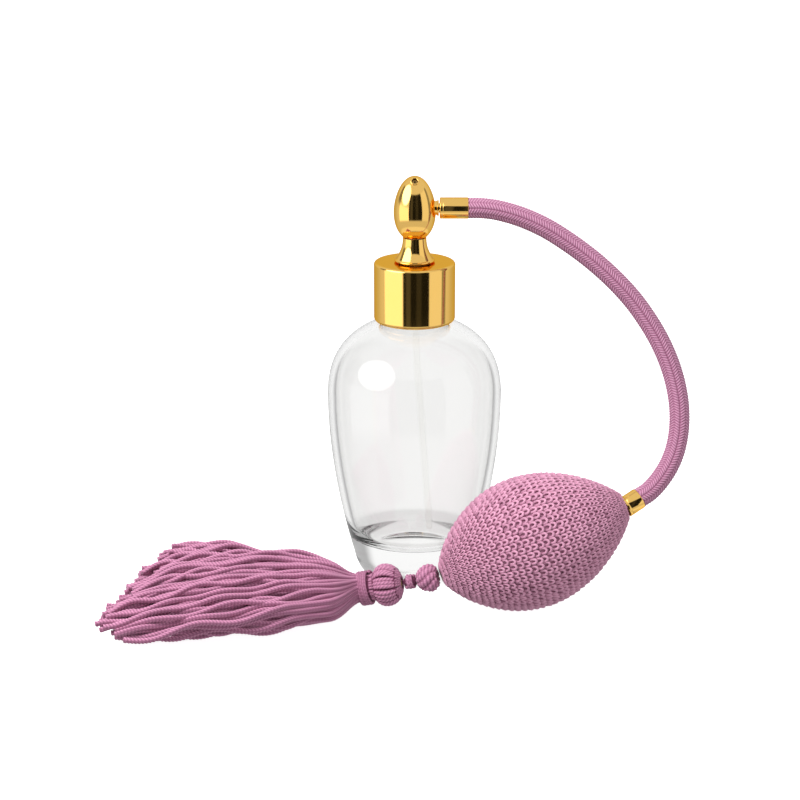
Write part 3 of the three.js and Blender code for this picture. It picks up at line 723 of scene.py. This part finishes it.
def make_bulb():
    centre = bulb_centre()
    # A thin lining closes the gaps between the stitches; it is painted dark, as painted shade in
    # those gaps.
    outer_radius, inner_radius = BULB_RADIUS - 0.55, BULB_RADIUS - 1.5
    lining = egg(egg_span(outer_radius, HOSE_HOLE, 90), outer_radius, BULB_LENGTH - 0.8)
    within = egg(egg_span(inner_radius, HOSE_HOLE, 60), inner_radius, BULB_LENGTH - 3)
    shell, shell_faces = lathe([*lining, *within[::-1]], 160)
    points, faces, painted_shade = join(knit_stitches(), (shell, shell_faces, 0.62))
    cover = mesh_piece("bulb_knit_cover", placed(points, centre, BULB_AXIS), faces, KNIT, painted_shade,
                       sharp=0)
    wall = 1.8
    radius, length = BULB_RADIUS - wall, BULB_LENGTH - 2 * wall
    outer = egg(egg_span(radius, BLADDER_HOLE, 60), radius, length)
    inner = egg(egg_span(radius - wall, BLADDER_HOLE, 60), radius - wall, length - 2 * wall)
    bladder = turned("bulb_rubber_bladder", [*outer, *inner[::-1]], RUBBER, centre, BULB_AXIS, 96)
    for piece, slot, node in ((cover, "knit", "bulb_cover"), (bladder, "rubber", "bulb_bladder")):
        stand_for(piece, "bulb", slot, node)
        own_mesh(piece)


# ---- knot and tassel ----

def corded(paths, radius, sides):
    """Braided cords about several paths, as points, faces and a painted shade that darkens the
    low parts of their stitches.
    """
    pitch, columns, lean = 1.15, 2, 1.7
    paths = np.asarray(paths, float)
    angle = np.linspace(0, TURN, sides, endpoint=False)[None, None]
    gone = distances(paths)[:, :, None]
    gone = gone + random.uniform(0, pitch, (len(paths), 1, 1))
    height, rib = stitches(angle, gone, columns, pitch, lean)
    reach = np.asarray(radius) * (0.76 + 0.06 * rib + 0.20 * height)
    points, faces = sweep(paths, reach, sides)
    # Painted shade: the lower a point lies between the stitches, the darker it is painted.
    return points, faces, np.clip(0.72 - 0.80 * height, 0, 1).ravel()


def round_axis(reach, height, angle):
    """Points at a distance, a height and an angle about +Z."""
    return np.stack(np.broadcast_arrays(reach * np.cos(angle), reach * np.sin(angle), height), -1)


def yarn_piece(name, parts, origin, direction, body, *nodes):
    points, faces, painted_shade = join(*parts)
    piece = mesh_piece(name, placed(points, origin, direction), faces, YARN, painted_shade, sharp=0)
    stand_for(piece, body, "yarn", *nodes)


def make_knot():
    tail = bulb_centre() + (0.3 - BULB_LENGTH / 2) * BULB_AXIS
    axis = unit(TASSEL_NECK - tail)
    start = tail + 1.5 * axis
    length = np.linalg.norm(TASSEL_NECK - start) - PIVOT_CLEARANCE
    count, steps = 8, 90
    t = np.linspace(0, 1, steps)
    profile = bezier((2.4, 0.1), (5.9, 0.4), (5.6, length - 2.0), (2.3, length), steps - 1)
    cord = np.clip(profile[:, 0] * 0.37, 0.75, 1.5)
    angle = TURN * np.arange(count)[:, None] / count - 1.5 * t[None]
    paths = round_axis(profile[None, :, 0] - cord, profile[None, :, 1], angle)
    # A core fills the knot under its cords and is painted fully dark, as painted shade between
    # them.
    core = bezier((0, 0.5), (3.6, 0.9), (3.4, length - 2.4), (0, length - 0.6), 30)
    core_points, core_faces = lathe(core, 32, False)
    yarn_piece("knot_yarn", [corded(paths, cord[None, :, None], 12),
                             (core_points, core_faces, 1.0)], start, axis, "tail", "tail_knot")


def winding(reach, pitch, turns, start, steps):
    """The path of a cord wound round the axis."""
    t = np.linspace(0, 1, steps)
    return round_axis(reach, start + pitch * turns * t, TURN * turns * t)[None]


def make_wrap():
    cord, turns, pitch, steps = 0.66, 2.6, 1.1, 150
    height = pitch * turns * (np.linspace(0, 1, steps) - 0.5)
    reach = np.minimum(WRAP_RADIUS - cord, np.sqrt((PIVOT_CLEARANCE - cord) ** 2 - height ** 2))
    paths = winding(reach, pitch, turns, -pitch * turns / 2, steps)
    # A core under the wound cord, painted fully dark as painted shade between its turns.
    core = lathe(rod(1.4, -2.0, 2.0), 24, False)
    yarn_piece("wrap_yarn", [corded(paths, cord, 12), (*core, 1.0)], TASSEL_NECK, TASSEL_AXIS,
               "tassel_link", "tassel_neck_wrap", "tassel_loop")


def make_tassel_head():
    count, steps = 27, 110
    swing = np.radians(np.linspace(-70, 52, steps))
    outline = np.stack([TASSEL_RADIUS * np.cos(swing),
                        HEAD_CENTRE + (TASSEL_HALF + 0.1) * np.sin(swing)], 1)
    straight = np.stack([np.full(8, outline[-1, 0]), outline[-1, 1] + np.linspace(0.3, 3, 8)], 1)
    outline = np.concatenate([outline, straight])
    cord = np.clip(math.pi * outline[:, 0] / count * 1.08, 0.45, 1.0)
    # The cords lie side by side over the bead, none quite straight or level with the next.
    turn = TURN * (np.arange(count)[:, None] + random.uniform(-0.12, 0.12, (count, 1))) / count
    sway = 0.10 * np.sin(np.linspace(0, math.pi, len(outline)))[None]
    sway = sway * random.normal(0, 0.6, (count, 1)) + 0.12 * np.linspace(0, 1, len(outline))
    swell = random.uniform(-0.25, 0.15, (count, 1))
    paths = round_axis(outline[None, :, 0] - cord + swell, outline[None, :, 1], turn + sway)
    # A core under the cords, painted fully dark as painted shade between them.
    core_wall = 0.35
    core_radius = TASSEL_RADIUS - 1.7 - core_wall
    core = lathe(arc((core_radius, HEAD_CENTRE), (core_wall, TASSEL_HALF - 1.2), -90, 270, 40),
                 48)
    yarn_piece("tassel_head_yarn", [corded(paths, cord[None, :, None], 12), (*core, 1.0)],
               TASSEL_NECK, TASSEL_AXIS, "tassel", "tassel_head")


def make_tie():
    cord = 0.68
    paths = winding(TIE_RADIUS - cord, pitch=1.25, turns=3.1, start=TIE_START + 0.2, steps=420)
    # A core under the winding, painted fully dark as painted shade between its turns.
    core = lathe(rod(4.6, TIE_START, TIE_START + TIE_LENGTH), 40, False)
    yarn_piece("tie_yarn", [corded(paths, cord, 12), (*core, 1.0)], TASSEL_NECK, TASSEL_AXIS,
               "tassel", "tassel_tie")


def skirt_paths():
    """Strands that leave the tie, swell and fan out along the ground."""
    count, steps, reach = 150, 430, 24        # reach is half the smoothing window, in steps
    golden_angle = math.pi * (3 - math.sqrt(5))
    order = np.arange(count) + 0.5
    spread = np.sqrt(order / count)
    turn = order * golden_angle
    across, up = spread * np.cos(turn), spread * np.sin(turn)
    inside = TIE_START + TIE_LENGTH / 2
    origin = TASSEL_NECK + inside * TASSEL_AXIS
    neck_x, neck_y, _ = TASSEL_NECK
    # x, y of the middle, half width and half height at stations along the skirt
    stations = np.array([
        (origin[0], origin[1], 4.4, 4.4), (origin[0] - 4, origin[1] - 0.1, 5.4, 5.2),
        (neck_x - 25.5, neck_y - 3.7, 18.5, 8.6), (neck_x - 43.5, neck_y - 6.2, 30, 9.8),
        (neck_x - 63.5, neck_y - 5.7, 36, 9.8), (neck_x - 80.5, neck_y - 2.7, 42, 8.8),
        (neck_x - 92.5, neck_y - 4.7, 39, 7.6), (neck_x - 104.5, neck_y - 7.7, 34, 5.6),
    ])
    far, near = np.clip((across + 0.5) / 1.5, 0, 1), np.clip((-0.6 - across) / 0.4, 0, 1)
    end = neck_x - 102 + 20 * far ** 1.3 + 12 * near ** 2 + random.uniform(-2, 6, count)
    u = np.linspace(0, 1, steps)[None]        # how far along its strand each point is
    twist = 0.55 * u ** 1.5
    # p and q are a strand's place across and up the bundle, once the bundle has twisted.
    p = across[:, None] * np.cos(twist) - up[:, None] * np.sin(twist)
    q = across[:, None] * np.sin(twist) + up[:, None] * np.cos(twist)
    x = origin[0] + (end[:, None] - origin[0]) * u
    middle, half_width, half_height = (
        np.interp(-x, -stations[:, 0], stations[:, i]) for i in (1, 2, 3))
    gone = origin[0] - x
    radius = np.clip(0.7 + 0.04 * gone, 0.7, 1.0)
    free = np.clip((gone - 5) / 22, 0, 1)
    phase = 2.4 * across + 1.6 * up + random.normal(0, 0.7, count)
    wave = random.uniform(24, 40, count)
    sway = np.sin(TURN * gone / wave[:, None] + phase[:, None]) * random.uniform(
        0.6, 2.0, count)[:, None]
    bob = np.sin(TURN * gone / (0.8 * wave[:, None]) + 2 * phase[:, None])
    stray = random.normal(0, 1.6, count)[:, None] * u ** 3
    y = middle + p * (half_width - radius) + free * (sway + stray)
    level = origin[2] + (half_height - origin[2]) * np.clip((gone - 2) / 14, 0, 1)
    z = level + q * (half_height - radius) + free * 0.8 * bob
    # The smoothing rounds the corners that straight spans between the stations leave.
    smooth = np.hanning(2 * reach + 1)
    smooth /= smooth.sum()
    tracks = []
    for track in (x, y, z):
        padded = np.pad(track, ((0, 0), (reach, reach)), mode="reflect", reflect_type="odd")
        tracks.append(np.stack([np.convolve(row, smooth, "valid") for row in padded]))
    tracks[2] = np.maximum(tracks[2], radius + 0.05)
    return np.stack(tracks, 2), radius


def make_skirt():
    paths, radius = skirt_paths()
    points, faces, painted_shade = corded(paths, radius[:, :, None], 10)
    skirt = mesh_piece("skirt_strands", points, faces, YARN, painted_shade, sharp=0)
    stand_for(skirt, "tassel", "yarn", "tassel_skirt")


def finish_hidden_nodes():
    """Better finishes for the CAD nodes that stay."""
    finishes = {
        "neck_gasket": SEAL, "spray_insert": WHITE_PLASTIC, "spigot_seal_ring": RUBBER,
        "collar_liner": WHITE_PLASTIC, "liquid_tube": STEEL, "spray_nozzle": BRASS,
        "outlet_valve": BRASS, "intake_valve": BRASS, "outlet_ball": STEEL,
        "intake_ball": STEEL, "tassel_bead": WOOD,
    }
    for name, material in finishes.items():
        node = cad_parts[name]
        node.material_slots[0].material = material


# ---- studio ----

def make_world():
    """White backdrop. Reflections see a studio: a bright window on the left, a dark room in
    front, pale walls and ceiling. Glass sees a bright wall behind it and darker sides. Angles
    are degrees: azimuth from straight in front, positive to the right, and elevation."""
    world = bpy.data.worlds.new("studio")
    world.use_nodes = True
    nodes = Nodes(world.node_tree)
    direction = nodes.add("ShaderNodeTexCoord", {}).outputs["Generated"]
    split = nodes.add("ShaderNodeSeparateXYZ", {"Vector": direction})
    x, y, z = split.outputs
    degrees = 180 / math.pi
    azimuth = nodes.math("MULTIPLY", nodes.math("ARCTAN2", x, nodes.math("MULTIPLY", y, -1)),
                         degrees)
    elevation = nodes.math("MULTIPLY", nodes.math("ARCSINE", z), degrees)

    def blend(base, mask, value):
        """base where mask is 0 and value where it is 1"""
        keep = nodes.math("SUBTRACT", 1, mask)
        return nodes.math("MULTIPLY_ADD", mask, value, nodes.math("MULTIPLY", base, keep))

    turned_away = nodes.math("ABSOLUTE", azimuth)

    def patch(turn, tilt, half_turn, half_tilt, soft):
        """1 inside an ellipse about a direction, falling smoothly to 0 outside."""
        across = nodes.math("DIVIDE", nodes.math("SUBTRACT", azimuth, turn), half_turn)
        up = nodes.math("DIVIDE", nodes.math("SUBTRACT", elevation, tilt), half_tilt)
        away = nodes.math("SQRT", nodes.math("MULTIPLY_ADD", across, across,
                                             nodes.math("MULTIPLY", up, up)))
        return nodes.window(away, -1, 1, soft)

    low_band = nodes.window(elevation, -60, 2, 8)
    behind = nodes.math("MULTIPLY", nodes.window(turned_away, 128, 181, 25), low_band)
    wall = blend(0.76, behind, 0.64)
    wall = blend(wall, nodes.math("MULTIPLY", nodes.window(azimuth, -92, -36, 3), low_band), 1.5)
    wall = blend(wall, nodes.window(azimuth, 42, 80, 3), 0.92)
    wall = blend(wall, nodes.window(azimuth, 84, 96, 3), 0.30)
    edge = nodes.math("MULTIPLY", nodes.window(azimuth, -112, -94, 5),
                      nodes.window(elevation, 8, 50, 8))
    wall = blend(wall, edge, 0.22)
    room = nodes.window(azimuth, -31, 40, 3)
    dark = nodes.math("MULTIPLY_ADD", nodes.window(azimuth, -22, -14, 5), 0.06, 0.012)
    dark = nodes.math("MULTIPLY_ADD", nodes.window(azimuth, 8, 16, 6), 0.025, dark)
    wall = blend(wall, room, dark)
    above = nodes.window(elevation, 34, 100, 4)
    below = nodes.window(elevation, -100, -25, 5)
    floor = blend(0.70, nodes.window(elevation, -52, -42, 5), 0.95)
    floor = blend(floor, nodes.window(elevation, -90, -66, 6), 0.28)
    mirror = blend(blend(wall, above, 0.78), below, floor)
    mirror = blend(mirror, patch(-62, 31, 30, 22, 0.12), 3.8)
    through = blend(0.98, nodes.window(elevation, -100, -34, 8), 0.80)
    through = blend(through, nodes.window(turned_away, -1, 138, 14), 0.42)
    path = nodes.add("ShaderNodeLightPath", {}).outputs
    sky = blend(0.46, nodes.window(elevation, 25, 100, 50), 0.92)
    # A refracted ray counts as glossy too, so what the glass sees comes after the mirror.
    level = blend(blend(blend(sky, path["Is Glossy Ray"], mirror),
                        path["Is Transmission Ray"], through), path["Is Camera Ray"], 1.0)
    nodes.finish("ShaderNodeOutputWorld", nodes.add("ShaderNodeBackground", {
        "Color": (1, 1, 1, 1), "Strength": level}))
    bpy.context.scene.world = world


def make_floor():
    material, nodes = new_material("studio_floor")
    paper = nodes.noise(3.0, 2.0)
    diffuse = nodes.add("ShaderNodeBsdfDiffuse", {
        "Color": nodes.mix(paper, (0.54, 0.54, 0.54, 1), (0.56, 0.56, 0.56, 1))})
    glow = nodes.add("ShaderNodeEmission", {"Color": (1, 1, 1, 1), "Strength": 0.92})
    both = nodes.add("ShaderNodeAddShader", {})
    nodes.tree.links.new(diffuse.outputs[0], both.inputs[0])
    nodes.tree.links.new(glow.outputs[0], both.inputs[1])
    nodes.finish("ShaderNodeOutputMaterial", both)
    reach = 4000
    corners = [(-reach, -reach, 0), (reach, -reach, 0), (reach, reach, 0), (-reach, reach, 0)]
    floor = mesh_piece("floor", corners, [[0, 1, 2, 3]], material, sharp=0)
    floor.location.z = -0.0002
    floor.visible_glossy = False
    floor.visible_diffuse = False
    floor.visible_transmission = False


def make_lamp(name, place, target, size, power):
    data = bpy.data.lights.new(name, "AREA")
    data.size = size
    data.energy = power
    lamp = bpy.data.objects.new(name, data)
    lamp.location = place
    aim = Vector(target) - Vector(place)
    lamp.rotation_euler = aim.to_track_quat("-Z", "Y").to_euler()
    lamp.visible_glossy = False
    lamp.visible_transmission = False
    lamp.visible_camera = False
    bpy.context.scene.collection.objects.link(lamp)


make_camera()
make_hose()
make_bottle()
make_dip_tube()
make_collar()
make_stem()
make_head()
make_fittings()
make_bulb()
make_knot()
make_wrap()
make_tassel_head()
make_tie()
make_skirt()
finish_hidden_nodes()
make_world()
make_floor()
make_lamp("key_lamp", place=(-0.45, -0.35, 0.75), target=(0.02, -0.02, 0.05), size=0.35,
          power=7.0)
bpy.context.scene.view_settings.view_transform = "Standard"
